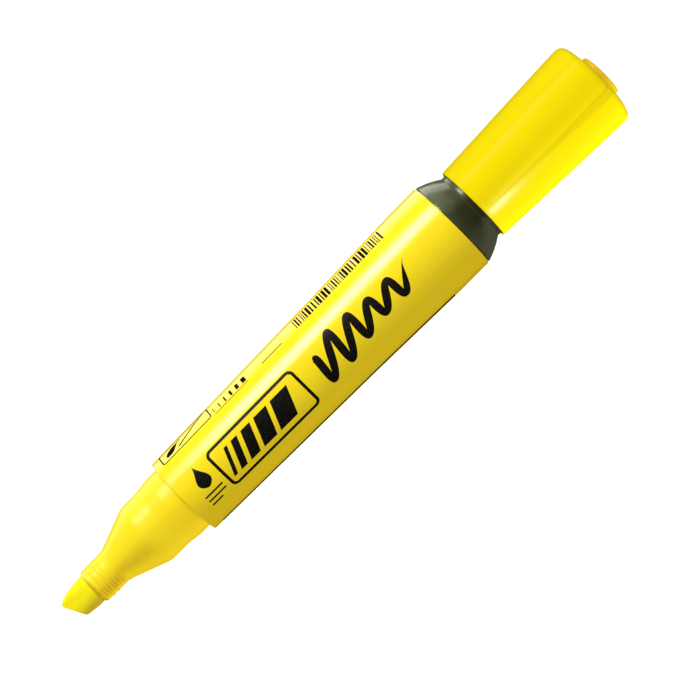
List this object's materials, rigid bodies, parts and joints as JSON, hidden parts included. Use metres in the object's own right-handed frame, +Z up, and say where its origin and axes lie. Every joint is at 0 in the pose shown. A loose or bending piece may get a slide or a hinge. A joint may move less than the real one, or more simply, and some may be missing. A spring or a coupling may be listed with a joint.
{
  "type": "highlighter",
  "caption": "Chisel-tip highlighter with a tapered round barrel, stepped conical nose, fibre nib, domed rear plug and a fluted push-on cap posted on the rear.",
  "frame": {"origin": "on the pen's axis, in the middle of the cylindrical band at the barrel's rear, where a loop or a stand's ring holds it", "axes": "+X along the pen from the nib to the cap's closed end, +Z up, +Y to the left of someone who looks from the nib to the cap; the chisel's wide side faces +Z"},
  "size_m": [0.1382, 0.019, 0.019],
  "materials": {
    "barrel_plastic": "smooth moulded polypropylene with a soft gloss and black print",
    "nose_plastic": "smooth moulded polypropylene, soft gloss",
    "nib_fibre": "bonded polyester fibre, matt, soaked with yellow ink",
    "reservoir_fibre": "bundled polyester fibre soaked with yellow ink",
    "clear_film": "thin clear film, glossy",
    "plug_plastic": "dark olive smoky plastic, glossy",
    "cap_plastic": "slightly translucent moulded polypropylene, soft gloss",
    "seal_plastic": "amber yellow moulded plastic, satin"
  },
  "bodies": {
    "pen": {"barrel": "barrel_plastic", "nose_section": "nose_plastic", "nib": "nib_fibre", "ink_reservoir": "reservoir_fibre", "reservoir_film": "clear_film", "end_plug": "plug_plastic"},
    "cap": {"cap_shell": "cap_plastic", "cap_inner_seal": "seal_plastic"}
  },
  "joints": [
    {"name": "cap_slide", "type": "slide", "parent": "pen", "child": "cap", "axis": [1, 0, 0], "range_m": [0, 0.04]}
  ]
}
